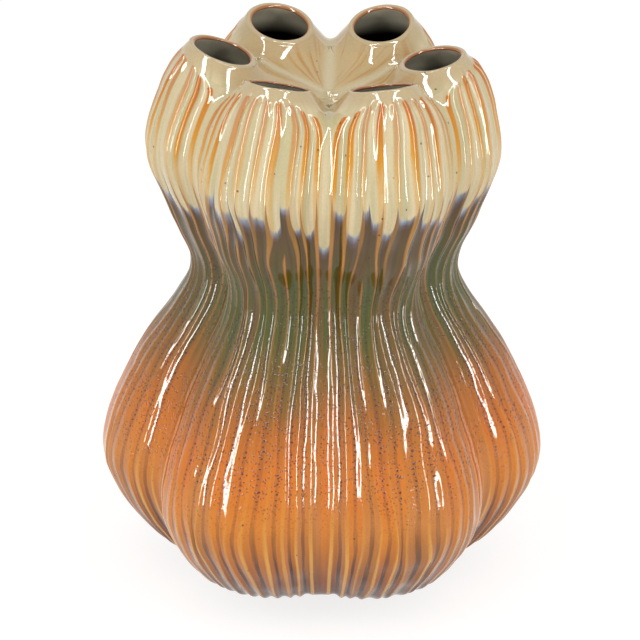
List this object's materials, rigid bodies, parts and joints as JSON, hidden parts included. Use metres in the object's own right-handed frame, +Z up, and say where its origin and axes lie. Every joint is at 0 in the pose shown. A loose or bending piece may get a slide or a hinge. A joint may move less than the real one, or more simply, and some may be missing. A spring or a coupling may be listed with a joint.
{
  "type": "vase",
  "caption": "Earthenware vase of fluted gourd-shaped lobes in a ring, each with its own tilted stem mouth, in a cream, green and orange running glaze.",
  "frame": {"origin": "centre of the vase's underside, on the surface that it stands on", "axes": "+Z up along the vase's axis; +X through the middle of one lobe; one valley between two lobes faces -Y, as in the picture"},
  "size_m": [0.2542, 0.2348, 0.3226],
  "materials": {
    "body_glaze": "thick running reactive glaze, very glossy: cream at the top, olive green at the waist, orange-brown below",
    "seam_glaze": "the same glaze pooled in the smooth valleys between the lobes, very glossy",
    "rim_glaze": "cream glaze with soft amber streaks in the dish at the top, very glossy",
    "bare_clay": "unglazed buff earthenware, dry and slightly rough"
  },
  "bodies": {
    "root": {"base_slab": "bare_clay", "lobe_000": "body_glaze", "lobe_060": "body_glaze", "lobe_120": "body_glaze", "lobe_180": "body_glaze", "lobe_240": "body_glaze", "lobe_300": "body_glaze", "seam_coil_030": "seam_glaze", "seam_coil_090": "seam_glaze", "seam_coil_150": "seam_glaze", "seam_coil_210": "seam_glaze", "seam_coil_270": "seam_glaze", "seam_coil_330": "seam_glaze", "centre_web": "rim_glaze"}
  },
  "joints": []
}
